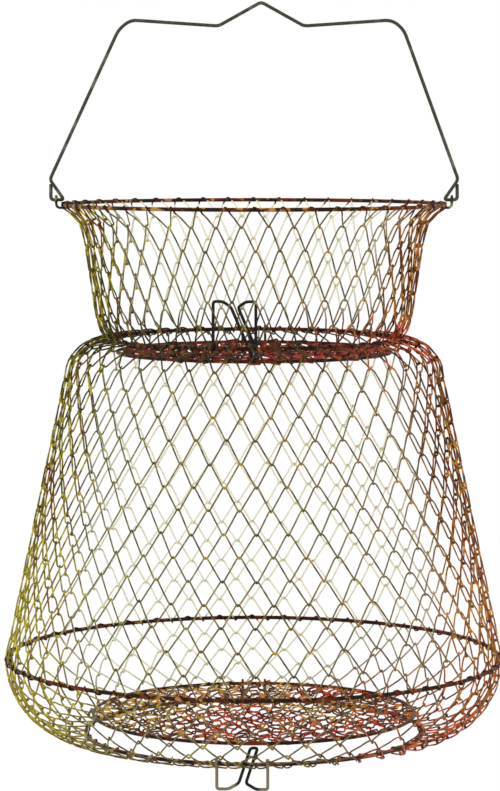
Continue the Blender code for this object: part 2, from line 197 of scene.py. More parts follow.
class BailSizes(bpy.types.PropertyGroup):
    """The bail's bends, from its peak down to its ends, and the ears that it turns in."""

    peak_half_width: size("Peak half width", 36.0, "Half the width of the peak at its foot")
    peak_rise: size("Peak rise", 20.0, "Height of the peak over its foot")
    bar_half_width: size("Bar half width", 110.0, "Half the length of the bar")
    bar_lift: size("Bar lift", 5.0, "How much higher the bar's ends lie than its middle")
    shoulder_half_width: size("Shoulder half width", 120.0, "Half the width at the shoulders")
    shoulder_drop: size("Shoulder drop", 23.0, "How far the shoulders lie below the peak")
    knee_overhang: size("Knee overhang", 12.0, "How far the knees lie outside the top hoop")
    knee_rise: size("Knee rise", 17.0, "How far the knees lie over the pins")
    pin_length: size("Pin length", 11.3, "Length of the pins that turn in the ears")
    tail_length: size("Tail length", 13.0, "Height of the upturned ends")
    bend: size("Bend", 3.2, "How far before a corner its bend starts")
    shoulder_bend: size("Shoulder bend", 6.0, "How far before a shoulder its bend starts")


class LatchSizes(bpy.types.PropertyGroup):
    """The two latches, each one wire bent to an M with a long tongue."""

    lid_azimuth: turn("Lid latch", -7.8, "Where the lid's latch stands, from the front")
    lid_half_width: size("Lid latch half width", 17.5, "Half the distance of its posts")
    lid_reach: size("Lid latch reach", 38.0, "Height of its shoulders")
    lid_dent: size("Lid latch dent", 4.5, "How deep its middle dips")
    lid_lean: size("Lid tongue lean", 17.2, "How far the tongue's tip lies to one side")
    door_azimuth: turn("Door latch", -4.0, "Where the door's latch hangs, from the front")
    door_half_width: size("Door latch half width", 20.8, "Half the distance of its posts")
    door_reach: size("Door latch reach", 21.5, "Depth of its shoulders")
    door_dent: size("Door latch dent", 5.0, "How deep its middle dips")
    door_lean: size("Door tongue lean", 9.6, "How far the tongue's tip lies to one side")
    tongue_half_width: size("Tongue half width", 2.9, "Half the distance of the tongue's wires")
    mouth_rise: size("Mouth rise", 3.6, "Where the tongue passes behind the posts' feet")
    shoulder_share: share("Shoulder share", 0.55, "Share of the half width where the dip starts")
    curl: turn("Curl", 255.0, "How far each foot wraps around its ring")
    bend: size("Bend", 2.4, "How far before a corner its bend starts")


class ClipSizes(bpy.types.PropertyGroup):
    """The hinge clips and the lid's spring."""

    half_spacing: size("Clip half spacing", 10.0, "Half the distance between two clips")
    spring_turns: count("Spring turns", 4, "Turns of the lid's spring")
    spring_pitch: size("Spring pitch", 2.2, "Distance between two turns")
    spring_arm: size("Spring arm", 24.0, "Length of the arm under the lid")


class FinishColours(bpy.types.PropertyGroup):
    """Colours of the wires."""

    steel_dark: colour("Dark steel", (0.048, 0.046, 0.030), "Dull parts of the bail")
    steel_light: colour("Light steel", (0.20, 0.195, 0.145), "Rubbed parts of the bail")
    hoop_dark: colour("Dark lacquer", (0.016, 0.006, 0.001), "Lacquer of the hoops")
    hoop_light: colour("Thin lacquer", (0.13, 0.022, 0.003), "The same where it has thinned")
    hoop_worn: colour("Worn lacquer", (0.56, 0.26, 0.07), "The same where it has chipped")
    latch_dark: colour("Dark spring wire", (0.010, 0.009, 0.008), "The latches")
    latch_light: colour("Rubbed spring wire", (0.13, 0.12, 0.08), "Rubbed parts of the latches")
    latch_worn: colour("Worn latch", (0.20, 0.17, 0.10), "Frame of the door's latch")
    # Painted side light: the net walls go from brass on the left to copper on the right, over the
    # lacquer's own tone.
    brass_dark: colour("Dark brass", (0.052, 0.040, 0.001), "Net wall on the left")
    # The light tones of the nets (light brass, light copper, light wine red, light coral and
    # straw) are partly rubbed wear and partly painted highlight.
    brass_light: colour("Light brass", (0.66, 0.57, 0.05), "Net wall on the left, rubbed")
    copper_dark: colour("Dark copper", (0.062, 0.021, 0.001), "Net wall on the right")
    copper_light: colour("Light copper", (0.74, 0.31, 0.05), "Net wall on the right, rubbed")
    rust: colour("Rust", (0.15, 0.020, 0.004), "Patches of the net walls")
    # Painted shade and highlight: the walls are painted darker and greyer in front and at the
    # back, with the rising legs there lighter than the falling ones.
    front: colour("Front wires", (0.040, 0.032, 0.015), "Net walls in front and at the back")
    front_light: colour("Light front wires", (0.14, 0.12, 0.060), "The legs that rise there")
    wine_dark: colour("Dark wine red", (0.030, 0.003, 0.002), "Net of the lid, stain of the walls")
    wine_light: colour("Light wine red", (0.80, 0.085, 0.045), "The same, rubbed")
    coral_dark: colour("Dark coral", (0.10, 0.010, 0.002), "Net of the door")
    coral_light: colour("Light coral", (0.70, 0.09, 0.025), "The same, rubbed")
    # Straw: partly thin lacquer, partly painted highlight on the door's net.
    straw: colour("Straw", (0.80, 0.50, 0.08), "The same where the lacquer is thinnest")
    # Painted glare: near-white on the walls' side towards the axis, a little darker at the knots,
    # for blown-out light on the back of the net.
    inner: colour("Bright inside", (0.86, 0.84, 0.62), "The walls' side towards the axis")
    inner_knot: colour("Inside of a knot", (0.70, 0.67, 0.38), "The same where two wires hook")


class StageSettings(bpy.types.PropertyGroup):
    """Camera and light."""

    lens: size("Lens", 142.9, "Focal length for a frame 36 mm high")
    pitch: turn("Pitch", 5.0, "How far the camera looks down")
    distance: size("Distance", 2669.0, "From the camera to what it looks at")
    aim_across: size("Aim to the left", 9.4, "How far left of the peak the camera aims")
    aim_drop: size("Aim drop", 332.1, "How far below the peak the camera aims")
    floor_drop: size("Floor drop", 260.0, "From the latch under the basket to the floor")
    floor_size: size("Floor size", 12000.0, "Width and depth of the floor")
    paper: colour("Paper white", (1.0, 1.0, 1.0), "Floor and background")


GROUPS = {
    "basket_wires": WireSizes,
    "basket_nets": NetSizes,
    "basket_bail": BailSizes,
    "basket_latches": LatchSizes,
    "basket_clips": ClipSizes,
    "basket_colours": FinishColours,
    "basket_stage": StageSettings,
}


class Hoop:
    """A hoop's middle, radius and height, read from its solid."""

    def __init__(self, node, wire):
        low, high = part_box(node)
        self.x = (low.x + high.x) / 2
        self.y = (low.y + high.y) / 2
        self.z = (low.z + high.z) / 2
        self.wire = wire
        self.radius = (high.x - low.x) / 2 - wire

    def bow(self, u):
        """How far outward the hoop lies of its own tangent, u along it: a negative distance."""
        return sqrt(self.radius**2 - u**2) - self.radius

    def local_frame(self, azimuth):
        """Maps (along, outward, up) at a point of the hoop to the world. Azimuth 0 is in front."""
        outward = Vector((sin(azimuth), -cos(azimuth), 0))
        along = Vector((cos(azimuth), sin(azimuth), 0))
        centre = Vector((self.x, self.y, self.z)) + outward * self.radius

        def to_world(u, v, w):
            return centre + along * u + outward * v + Vector((0, 0, w))

        return to_world


def set_input(tree, socket, value):
    """Gives a node's input a value or a link."""
    if isinstance(value, Socket):
        tree.links.new(value.link, socket)
    else:
        socket.default_value = value


def add_node(tree, kind, settings, sockets, output=0):
    """Adds a node, with its settings first, then each socket's value or link."""
    node = tree.nodes.new(kind)
    for name, value in settings.items():
        setattr(node, name, value)
    for name, value in sockets.items():
        set_input(tree, node.inputs[name], value)
    return Socket(tree, node.outputs[output])


class Socket:
    """A socket of a node tree, in shader arithmetic."""

    def __init__(self, tree, link):
        self.tree = tree
        self.link = link

    def maths(self, operation, *values):
        """This socket with the values, in the operation's order."""
        sockets = dict(enumerate((self, *values)))
        return add_node(self.tree, "ShaderNodeMath", {"operation": operation}, sockets)

    def __add__(self, other):
        return self.maths("ADD", other)

    def __sub__(self, other):
        return self.maths("SUBTRACT", other)

    def __rsub__(self, other):
        return self.maths("MULTIPLY", -1.0) + other

    def __mul__(self, other):
        return self.maths("MULTIPLY", other)

    __radd__ = __add__
    __rmul__ = __mul__


class Finish:
    """A material, made node by node."""

    def __init__(self, name, metallic, shine=0.5):
        self.material = bpy.data.materials.new(name)
        self.material.use_nodes = True
        self.tree = self.material.node_tree
        self.shader = self.tree.nodes["Principled BSDF"]
        self.feed("Metallic", metallic)
        self.feed("Specular IOR Level", shine)
        self.place = self.add("ShaderNodeTexCoord", {}, {}, "Object")
        self.facing = self.add("ShaderNodeTexCoord", {}, {}, "Normal")

    def add(self, kind, settings, sockets, output=0):
        return add_node(self.tree, kind, settings, sockets, output)

    def noise(self, scale, detail=2.0, roughness=0.5, where=None):
        sockets = {"Vector": where or self.place, "Scale": scale}
        sockets |= {"Detail": detail, "Roughness": roughness}
        return self.add("ShaderNodeTexNoise", {}, sockets, "Fac")

    def between(self, value, low, high):
        """0 below low, 1 above high, and smooth between them."""
        sockets = {"Value": value, "From Min": low, "From Max": high}
        return self.add("ShaderNodeMapRange", {"interpolation_type": "SMOOTHSTEP"}, sockets)

    def mix(self, factor, first, second):
        """A colour between two, each a value or a socket."""
        first = first if isinstance(first, Socket) else (*first, 1.0)
        second = second if isinstance(second, Socket) else (*second, 1.0)
        sockets = {0: factor, 6: first, 7: second}
        return self.add("ShaderNodeMix", {"data_type": "RGBA"}, sockets, 2)

    def vector_maths(self, operation, first, second, output="Vector"):
        settings = {"operation": operation}
        return self.add("ShaderNodeVectorMath", settings, {0: first, 1: second}, output)

    def part_of(self, vector, axis):
        """One of a vector's three parts, as a number."""
        return self.add("ShaderNodeSeparateXYZ", {}, {"Vector": vector}, axis)

    def feed(self, name, value):
        set_input(self.tree, self.shader.inputs[name], value)

    def bump(self, height, distance, strength=0.6):
        sockets = {"Height": height, "Distance": distance, "Strength": strength}
        self.feed("Normal", self.add("ShaderNodeBump", {}, sockets, "Normal"))


def drawn_wire(name, dark, light, metallic, roughness, wear, frame_tone=None, middle=0.0):
    """Bare drawn wire: dull, with rubbed patches and fine pits. With a frame tone, it takes that
    colour away from its middle, a place along X."""
    finish = Finish(name, metallic, shine=0.25)
    patches = finish.between(finish.noise(55.0, 3.0, 0.6), 0.62 - wear, 0.82 - wear)
    specks = finish.between(finish.noise(900.0, 2.0), 0.52, 0.68)
    shine = finish.mix(patches * 0.7 + specks * 0.3, dark, light)
    if frame_tone:
        away = (finish.part_of(finish.place, "X") - middle).maths("ABSOLUTE")
        shine = finish.mix(finish.between(away, 8 * MM, 11 * MM), shine, frame_tone)
    finish.feed("Base Color", shine)
    finish.feed("Roughness", patches * -0.12 + roughness + specks * 0.1)
    finish.bump(finish.noise(1400.0, 2.0) * 0.5 + patches * 0.2, 0.1 * MM)


def lacquered_wire(name, dark, light, worn, front_wear=0.0):
    """Wire under dark lacquer, which has thinned in patches and chipped in small spots, by its
    front wear more of them in front."""
    finish = Finish(name, metallic=0.0, shine=0.06)
    patches = finish.between(finish.noise(75.0, 4.0, 0.65), 0.46, 0.62)
    front = finish.between(finish.part_of(finish.place, "Y"), 20 * MM, -60 * MM)
    chips = finish.between(finish.noise(120.0, 3.0, 0.6) + front * front_wear, 0.58, 0.68)
    body = finish.mix(patches, dark, light)
    finish.feed("Base Color", finish.mix(chips * 0.75, body, worn))
    finish.feed("Roughness", 0.34 + patches * 0.16 + chips * 0.12)
    finish.feed("Coat Weight", 0.06 - chips * 0.06)
    finish.bump(finish.noise(700.0, 3.0) * 0.4 - chips * 0.6, 0.12 * MM)


class NetFinish(Finish):
    """Lacquered net wire. Its colour drifts from left to right, each (dark, light), partly as
    painted side light, and in patches of its light tone, partly rubbed wear and partly painted
    highlight, less on the legs that fall to the right."""

    def __init__(self, name, left, right, patch=(1.0, 1.0, 1.0), spread=0.12):
        super().__init__(name, metallic=0.0, shine=0.06)
        self.across = self.part_of(self.place, "X") + (self.noise(14.0) - 0.5) * spread
        # Painted side light: the colour drifts from the left's to the right's across the basket.
        self.drift = self.between(self.across, -150 * MM, 150 * MM)
        dark = self.mix(self.drift, left[0], right[0])
        self.light = self.mix(self.drift, left[1], right[1])
        where = self.vector_maths("MULTIPLY", self.place, patch)
        self.links = self.between(self.noise(120.0, 3.0, 0.6, where), 0.44, 0.64)
        streaks = self.between(self.noise(1300.0, 2.0), 0.5, 0.72)
        self.leg = self.add("ShaderNodeAttribute", {"attribute_name": "leg"}, {}, "Fac")
        self.falling = self.between(self.leg, FALLING_LEG - 0.7, FALLING_LEG - 0.1)
        # Painted highlight, partly rubbed wear: the light tone in patches and streaks, held back
        # on the falling legs.
        rubbed = (self.links * 0.8 + streaks * 0.15) * (1.0 - self.falling * 0.6)
        self.shown = self.mix(rubbed, dark, self.light)
        self.feed("Base Color", self.shown)
        self.feed("Roughness", 0.38 + self.links * 0.15)
        self.bump(streaks * 0.4 + self.links * 0.3, 0.08 * MM)


class WallFinish(NetFinish):
    """Net wire of a wall. Over its drift, partly painted side light, lie more of its light tone
    low on its sides, its rust, painted shade on its legs in front and at the back with painted
    highlight on the rising ones, painted glare on its knots and its inside there, a stain by the
    neck ring and the base ring, and the dark of its wraps around the hoops."""

    to_right = (20 * MM, 110 * MM)
    lighter_low = (-400 * MM, -520 * MM)
    neck_hem = (26 * MM, 6 * MM)
    base_hem = (32 * MM, 6 * MM)
    right_hem = (80 * MM, 20 * MM)

    def __init__(self, name, left, right):
        super().__init__(name, left, right)
        tone = bpy.context.scene.basket_colours
        height = self.part_of(self.place, "Z")
        right_side = self.between(self.across, *self.to_right)
        loose = self.between(self.leg, WRAP + 0.1, BEND - 0.1)
        straight = self.between(self.leg, BEND + 0.02, BEND_END - 0.05)
        spoke = self.spoke()
        # Painted shade in front and at the back: middle marks where the walls face that way.
        middle = self.between(self.part_of(spoke, "Y").maths("ABSOLUTE"), 0.5, 0.78) * loose
        # More of the light tone, partly painted highlight, towards the bottom of the sides.
        low = self.between(height, *self.lighter_low)
        shown = self.mix(low * (1.0 - middle) * 0.3, self.shown, self.light)
        rusty = self.between(self.noise(26.0, 3.0, 0.6) + self.drift * 0.04, 0.54, 0.66)
        shown = self.mix(rusty * (0.8 - middle * 0.5), shown, tone.rust)
        # Painted highlight on the rising legs there, painted shade on the falling ones.
        legs = self.mix(self.falling, tone.front_light, tone.front)
        shown = self.mix(middle * (straight * 0.55 - self.links * 0.15 + 0.25), shown, legs)
        hem = self.hem(height, right_side)
        # Painted glare on the walls' inward side, in front and at the back, not by the rings.
        lean = self.vector_maths("DOT_PRODUCT", self.facing, spoke, "Value")
        inside = self.between(0.0 - lean, -0.2, 0.05) * (1.0 - hem)
        shown = self.mix(middle * inside, shown, self.mix(straight, tone.inner_knot, tone.inner))
        stain = self.mix(self.links, tone.wine_dark, tone.wine_light)
        shown = self.mix(hem * 0.68, shown, self.mix(right_side, tone.hoop_dark, stain))
        wraps = self.mix(self.drift * 0.7, tone.hoop_dark, tone.rust)
        self.feed("Base Color", self.mix(loose, wraps, shown))

    def spoke(self):
        """The direction from the basket's axis outward to a place."""
        hoop = hoops()["top_hoop"]
        away = self.vector_maths("SUBTRACT", self.place, (hoop.x, hoop.y, 0.0))
        away = self.vector_maths("MULTIPLY", away, (1.0, 1.0, 0.0))
        return self.vector_maths("NORMALIZE", away, (0.0, 0.0, 0.0))

    def hem(self, height, right_side):
        """How close a place lies to the neck ring or the base ring, over which it reaches
        higher on the right."""
        rings = hoops()
        from_neck = (height - rings["neck_ring"].z).maths("ABSOLUTE")
        above_base = height - rings["base_ring"].z
        hem = self.between(from_neck, *self.neck_hem)
        hem = hem + self.between(above_base, *self.base_hem) * 0.3
        return hem + self.between(above_base, *self.right_hem) * right_side * 0.7


def wires(name, strands, radius, body, finish, node, closed=False, fineness=2, legs=()):
    """A mesh of round wire along each strand, a list of places. It rides on the body, if one is
    given, and stands for the node. legs says where each place lies, from WRAP to FALLING_LEG."""
    curve = bpy.data.curves.new(name, "CURVE")
    curve.dimensions = "3D"
    curve.bevel_depth = radius
    curve.bevel_resolution = fineness
    curve.use_fill_caps = True
    for strand in strands:
        spline = curve.splines.new("POLY")
        spline.points.add(len(strand) - 1)
        flat = [value for place in strand for value in (*place, 1.0)]
        spline.points.foreach_set("co", flat)
        spline.use_cyclic_u = closed
        spline.use_smooth = True
    guide = bpy.data.objects.new(name, curve)
    mesh = bpy.data.meshes.new_from_object(guide)
    bpy.data.objects.remove(guide)
    bpy.data.curves.remove(curve)
    if legs:
        around = len(mesh.vertices) // len(legs)
        layer = mesh.attributes.new("leg", "FLOAT", "POINT")
        layer.data.foreach_set("value", [leg for leg in legs for _ in range(around)])
    piece = bpy.data.objects.new(name, mesh)
    bpy.context.scene.collection.objects.link(piece)
    piece.data.materials.clear()
    piece.data.materials.append(finishes()[finish])
    if body:
        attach(piece, body)
    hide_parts(node)
    return piece


def node_wire(node, route, radius, body, finish, closed=False):
    """The single wire that stands for a node."""
    wires(f"{node}_wire", [route], radius, body, finish, node, closed, fineness=3)


def rounded(points, cuts):
    """The same route with each inner corner rounded, starting its own cut before it."""
    points = [Vector(p) for p in points]
    route = [points[0]]
    for before, corner, after, cut in zip(points, points[1:], points[2:], cuts):
        start = corner.lerp(before, min(0.5, cut / (before - corner).length))
        end = corner.lerp(after, min(0.5, cut / (after - corner).length))
        for step in range(CORNER_STEPS + 1):
            t = step / CORNER_STEPS
            route.append(start.lerp(corner, t).lerp(corner.lerp(end, t), t))
    route.append(points[-1])
    return route


def smooth_route(points, steps):
    """A smooth curve through every point."""
    points = [Vector(p) for p in points]
    ends = [2 * points[0] - points[1]] + points + [2 * points[-1] - points[-2]]
    route = []
    for a, b, c, d in zip(ends, ends[1:], ends[2:], ends[3:]):
        for step in range(steps):
            t = step / steps
            bend = (2 * a - 5 * b + 4 * c - d) * t**2 + (3 * b - a - 3 * c + d) * t**3
            route.append((2 * b + (c - a) * t + bend) / 2)
    route.append(points[-1])
    return route


class Profile:
    """The outline of a net wall: places (radius, height) by their distance along it."""

    def __init__(self, places):
        self.places = [Vector(place) for place in places]
        self.lengths = [0.0]
        for a, b in zip(self.places, self.places[1:]):
            self.lengths.append(self.lengths[-1] + (b - a).length)

    def at(self, s):
        """The place at s, on the end's own line where s lies past an end."""
        index = 0
        while index < len(self.places) - 2 and self.lengths[index + 1] < s:
            index += 1
        a, b = self.places[index], self.places[index + 1]
        return a.lerp(b, (s - self.lengths[index]) / (b - a).length)

    def off(self, s, aside):
        """The place at s, moved aside to the wall's outer side."""
        reach = 2 * MM
        way = (self.at(s + reach) - self.at(s - reach)).normalized()
        return self.at(s) + aside * Vector((-way.y, way.x))


def link(u, top_bend, low_bend, top, low):
    """Where a wire has come u of the way along its half column: how far down its row, both from
    0 to 1, and how far aside. Within top_bend and low_bend of its ends it bends round from one
    side of the net to the other, and between them it is straight."""
    ease = 2 / pi
    slope = 1 / (1 - (top_bend + low_bend) * (1 - ease))
    if u < top_bend:
        turned = pi / 2 * u / top_bend
        return slope * top_bend * ease * (1 - cos(turned)), top * sin(turned)
    if u > 1 - low_bend:
        turned = pi / 2 * (1 - u) / low_bend
        return 1 - slope * low_bend * ease * (1 - cos(turned)), low * sin(turned)
    aside = top + (low - top) * (u - top_bend) / (1 - top_bend - low_bend)
    return slope * (top_bend * ease + u - top_bend), aside


def linked_rows(places, middle, columns, rows, phase, hoop, seed):
    """The strands of a net, and where each of their places lies, as wires() takes it. Each row
    is one zigzag wire around the axis, and its bends hook into those of the rows beside it, or
    around the hoops at the ends, whose wire has the radius hoop."""
    nets = bpy.context.scene.basket_nets
    wire = bpy.context.scene.basket_wires.net
    profile = Profile(places)
    length = profile.lengths[-1]
    chance = Random(seed)
    stray = []
    for line in range(rows + 1):
        inner = 0 < line < rows
        reach = nets.unevenness if inner else nets.unevenness / 2
        drop = reach if inner else 0.0
        stray.append([
            (chance.uniform(-reach, reach), chance.uniform(-drop, drop)) for _ in range(columns)
        ])
    bends = (nets.top_bend, nets.low_bend)
    steps = (0.0, bends[0] / 2, bends[0], 0.5, 1 - bends[1], 1 - bends[1] / 2, 1.0)
    half = pi / columns
    around_hoop = (hoop + wire, hoop + wire, (WRAP, WRAP, WRAP))
    into_row = (wire, nets.thickness, (BEND, BEND, BEND_END))
    strands = []
    legs = []
    for row in range(rows):
        top_wrap, top_side, at_top = around_hoop if row == 0 else into_row
        low_wrap, low_side, at_foot = around_hoop if row == rows - 1 else into_row
        fall = [*zip(steps, (*at_top, FALLING_LEG, *reversed(at_foot)))][:-1]
        rise = [*zip(steps, (*at_top, RISING_LEG, *reversed(at_foot)))][:0:-1]
        strand = []
        for column in range(columns):
            top_turn, top_drop = stray[row][column]
            top_s = length * row / rows + top_drop - top_wrap
            for way, low_column, stops in ((-1, column - 1, rise), (1, column, fall)):
                low_turn, low_drop = stray[row + 1][low_column]
                low_s = length * (row + 1) / rows + low_drop + low_wrap
                for u, leg in stops:
                    down, aside = link(u, *bends, top_side, low_side)
                    radius, height = profile.off(top_s + (low_s - top_s) * down, way * aside)
                    strayed = (top_turn + (low_turn - top_turn) * u) / radius
                    angle = phase + half * (2 * column + row + way * u) + strayed
                    spoke = Vector((radius * sin(angle), -radius * cos(angle), height))
                    strand.append(middle + spoke)
                    legs.append(leg)
        strands.append(strand)
    return strands, legs


def hoops():
    """Every hoop and rim by its node's name."""
    wire = bpy.context.scene.basket_wires
    found = {}
    for node in HOOP_BODIES:
        found[node] = Hoop(node, wire.rim if node.endswith("_rim") else wire.hoop)
    return found


def joint(name):
    """A joint of the frame by its name."""
    return next(j for j in frame["joints"] if j["name"] == name)


def finishes():
    """The basket's materials by name, made once."""
    if "bail steel" not in bpy.data.materials:
        tone = bpy.context.scene.basket_colours
        drawn_wire(
            "bail steel", tone.steel_dark, tone.steel_light, metallic=0.75, roughness=0.42,
            wear=0.1,
        )
        steel = {"dark": tone.latch_dark, "light": tone.latch_light}
        steel |= {"metallic": 0.7, "roughness": 0.38, "wear": -0.04}
        drawn_wire("spring wire", **steel)
        latches = bpy.context.scene.basket_latches
        ring = hoops()["base_ring"]
        tongue = ring.x + ring.radius * sin(latches.door_azimuth) + latches.door_lean / 2
        drawn_wire("worn spring wire", **steel, frame_tone=tone.latch_worn, middle=tongue)
        lacquer = (tone.hoop_dark, tone.hoop_light, tone.hoop_worn)
        lacquered_wire("hoop lacquer", *lacquer)
        lacquered_wire("top hoop lacquer", *lacquer, front_wear=0.06)
        lacquered_wire("ear lacquer", tone.latch_dark, tone.steel_dark, tone.brass_light)
        copper = (tone.copper_dark, tone.copper_light)
        WallFinish("brass net", (tone.brass_dark, tone.brass_light), copper)
        WallFinish("copper net", (tone.copper_dark, tone.brass_light), copper)
        patch = (1.6, 0.3, 1.0)
        wine = (tone.wine_dark, tone.wine_light)
        NetFinish("lid net", (tone.hoop_dark, tone.rust), wine, patch, spread=0.5)
        coral = (tone.coral_dark, tone.coral_light)
        NetFinish("door net", (tone.copper_dark, tone.straw), coral, patch, spread=0.9)
    return bpy.data.materials


class BASKET_OT_hoops(bpy.types.Operator):
    """Adds the four hoops and the two rims"""

    bl_idname = "basket.hoops"
    bl_label = "Add Hoops and Rims"

    def execute(self, context):
        for node, hoop in hoops().items():
            finish = "top hoop lacquer" if node == "top_hoop" else "hoop lacquer"
            route = []
            for step in range(HOOP_POINTS):
                angle = 2 * pi * step / HOOP_POINTS
                across, back = hoop.radius * cos(angle), hoop.radius * sin(angle)
                route.append((hoop.x + across, hoop.y + back, hoop.z))
            body = HOOP_BODIES[node]
            node_wire(node, route, hoop.wire, body, finish, closed=True)
        return {"FINISHED"}


class BASKET_OT_bail(bpy.types.Operator):
    """Adds the bail, one bent wire from tail to tail"""

    bl_idname = "basket.bail"
    bl_label = "Add Bail"

    def side(self, context, side):
        """Half of the bail, from the foot of its peak to the end of its tail."""
        bail = context.scene.basket_bail
        wire = context.scene.basket_wires
        hoop = hoops()["top_hoop"]
        pivot = Vector(joint("bail_swing")["pos_m"])

        def at_top(across, drop):
            return Vector((side * across, 0, -drop))

        def at_hoop(outboard, back, up):
            return pivot + Vector((side * (hoop.radius + outboard), back, up))

        return [
            at_top(bail.peak_half_width, bail.peak_rise),
            at_top(bail.bar_half_width, bail.peak_rise - bail.bar_lift),
            at_top(bail.shoulder_half_width, bail.shoulder_drop),
            at_hoop(bail.knee_overhang, 0, bail.knee_rise),
            at_hoop(0, 0, 0),
            at_hoop(bail.pin_length, 0, 0),
            at_hoop(bail.pin_length, 2 * wire.bail + wire.seat_gap, bail.tail_length),
        ]

    def execute(self, context):
        bail = context.scene.basket_bail
        left = [*reversed(self.side(context, -1))]
        points = left + [Vector((0, 0, 0))] + self.side(context, 1)
        cuts = [bail.bend] * 3 + [bail.shoulder_bend] * 2 + [bail.bend] * 3
        cuts += [bail.shoulder_bend] * 2 + [bail.bend] * 3
        radius = context.scene.basket_wires.bail
        node_wire("bail", rounded(points, cuts), radius, "bail", "bail steel")
        return {"FINISHED"}


class BASKET_OT_ears(bpy.types.Operator):
    """Adds the two ears, each a wire wrapped under the top hoop around the bail's pin"""

    bl_idname = "basket.ears"
    bl_label = "Add Bail Ears"

    def execute(self, context):
        wire = context.scene.basket_wires
        bail = context.scene.basket_bail
        hoop = hoops()["top_hoop"]
        pivot_rise = joint("bail_swing")["pos_m"][2] - hoop.z
        wrap = wire.hoop + wire.seat_gap + wire.clip
        eye = wire.bail + wire.turning_gap + wire.clip
        outboard = bail.pin_length - bail.bend - wire.clip - wire.seat_gap
        under_hoop = range(150, 301, CURL_STEP)
        around_pin = range(-65, -336, -CURL_STEP)
        # Shares of outboard, of the eye forward and of the wrap down.
        crossing = ((0.62, 0.25, 0.86), (0.92, 0.75, 0.35))
        points = []
        for angle in map(radians, under_hoop):
            points.append((wrap * cos(angle), 0, wrap * sin(angle)))
        for across, forward, down in crossing:
            points.append((across * outboard, -forward * eye, -down * wrap))
        for angle in map(radians, around_pin):
            points.append((outboard, eye * sin(angle), pivot_rise - eye * cos(angle)))
        for side, word in ((-1, "left"), (1, "right")):
            route = []
            for u, v, w in smooth_route(points, 3):
                route.append((hoop.x + side * (hoop.radius + u), v, hoop.z + w))
            node_wire(f"bail_ear_{word}", route, wire.clip, "top", "ear lacquer")
        return {"FINISHED"}


class BASKET_OT_walls(bpy.types.Operator):
    """Adds the nets of the neck, the body and the base"""

    bl_idname = "basket.walls"
    bl_label = "Add Net Walls"

    def quarter(self, radii, heights, steps=12):
        """A quarter turn between two places, (radius, height)."""
        places = []
        for step in range(steps + 1):
            angle = pi / 2 * step / steps
            radius = radii[1] + (radii[0] - radii[1]) * cos(angle)
            height = heights[0] + (heights[1] - heights[0]) * sin(angle)
            places.append((radius, height))
        return places

    def execute(self, context):
        nets = context.scene.basket_nets
        rings = hoops()
        top, neck = rings["top_hoop"], rings["neck_ring"]
        wide, base = rings["wide_hoop"], rings["base_ring"]
        throat = [
            (top.radius, top.z),
            (neck.radius + nets.throat_top_flare, top.z - nets.throat_top_drop),
            (neck.radius + nets.throat_low_flare, neck.z + nets.throat_low_rise),
            (neck.radius, neck.z),
        ]
        shoulder = self.quarter(
            (neck.radius + nets.shoulder_width, neck.radius),
            (neck.z - nets.shoulder_drop, neck.z),
        )
        side = [*reversed(shoulder), (wide.radius, wide.z)]
        bowl = self.quarter((wide.radius, base.radius), (wide.z, base.z))
        walls = (
            ("neck", "top", smooth_route(throat, 6), nets.neck_rows, "brass", top.z - neck.z),
            ("body", "neck", side, nets.body_rows, "brass", neck.z - wide.z),
            ("base", "wide", bowl, nets.base_rows, "copper", wide.z - base.z),
        )
        middle = Vector((top.x, top.y, 0))
        radius = context.scene.basket_wires.net
        phase = nets.phase
        for seed, (part, body, places, rows, metal, depth) in enumerate(walls, 1):
            strands, legs = linked_rows(places, middle, nets.columns, rows, phase, top.wire, seed)
            piece = wires(
                f"{part}_mesh", strands, radius, body, f"{metal} net",
                f"{part}_net", closed=True, fineness=1, legs=legs,
            )
            fold = f"{part}_collapse"
            keep = 1 - joint(fold)["range_m"][1] / depth
            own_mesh(piece)
            phase += 2 * pi / nets.columns * (rows % 2 + 1) / 2
        return {"FINISHED"}


class BASKET_OT_closures(bpy.types.Operator):
    """Adds the nets of the lid and the door"""

    bl_idname = "basket.closures"
    bl_label = "Add Lid and Door Nets"

    def strand(self, rim, row, rows, chance):
        """One zigzag wire from side to side of the rim, which its two ends wrap around."""
        nets = bpy.context.scene.basket_nets
        wire = bpy.context.scene.basket_wires
        pitch = 2 * rim.radius / rows
        middle = pitch * (row + 0.5) - rim.radius
        reach = sqrt(rim.radius**2 - middle**2)
        bends = (nets.low_bend, nets.low_bend)
        half = nets.closure_column / 2
        count = 2 * int(reach / half) + 1
        shift = chance.uniform(-ROW_SHIFT, ROW_SHIFT) * half
        places = []
        stray = Vector((0, 0, 0))
        for step in range(count):
            way = 1 if (step + row) % 2 else -1
            start = (step - count / 2) * half + shift
            strayed = stray
            stray = Vector([chance.uniform(-1, 1) * nets.closure_stray for _ in range(3)])
            for u in (0.0, bends[0] / 2, bends[0], 0.5, 1 - bends[1], 1 - bends[1] / 2):
                across = start + u * half
                inside = min(1.0, max(0.0, (reach - abs(across)) / half))
                down, aside = link(u, *bends, nets.closure_depth, nets.closure_depth)
                swing = way * (down - 0.5) * (pitch + 2 * wire.closure)
                back = middle + swing * inside
                sunk = nets.sag * (1 - (across**2 + back**2) / rim.radius**2)
                offset = strayed.lerp(stray, u) + Vector((0, swing, way * aside))
                level = Vector((rim.x + across, rim.y + middle, rim.z - sunk))
                places.append(level + offset * inside)
        return places

    def execute(self, context):
        nets = context.scene.basket_nets
        wire = context.scene.basket_wires
        for body in ("lid", "door"):
            rim = hoops()[f"{body}_rim"]
            chance = Random(body)
            rows = round(2 * rim.radius / nets.closure_pitch)
            strands = [self.strand(rim, row, rows, chance) for row in range(rows)]
            wires(
                f"{body}_mesh", strands, wire.closure, body, f"{body} net",
                f"{body}_net", fineness=1,
            )
        return {"FINISHED"}


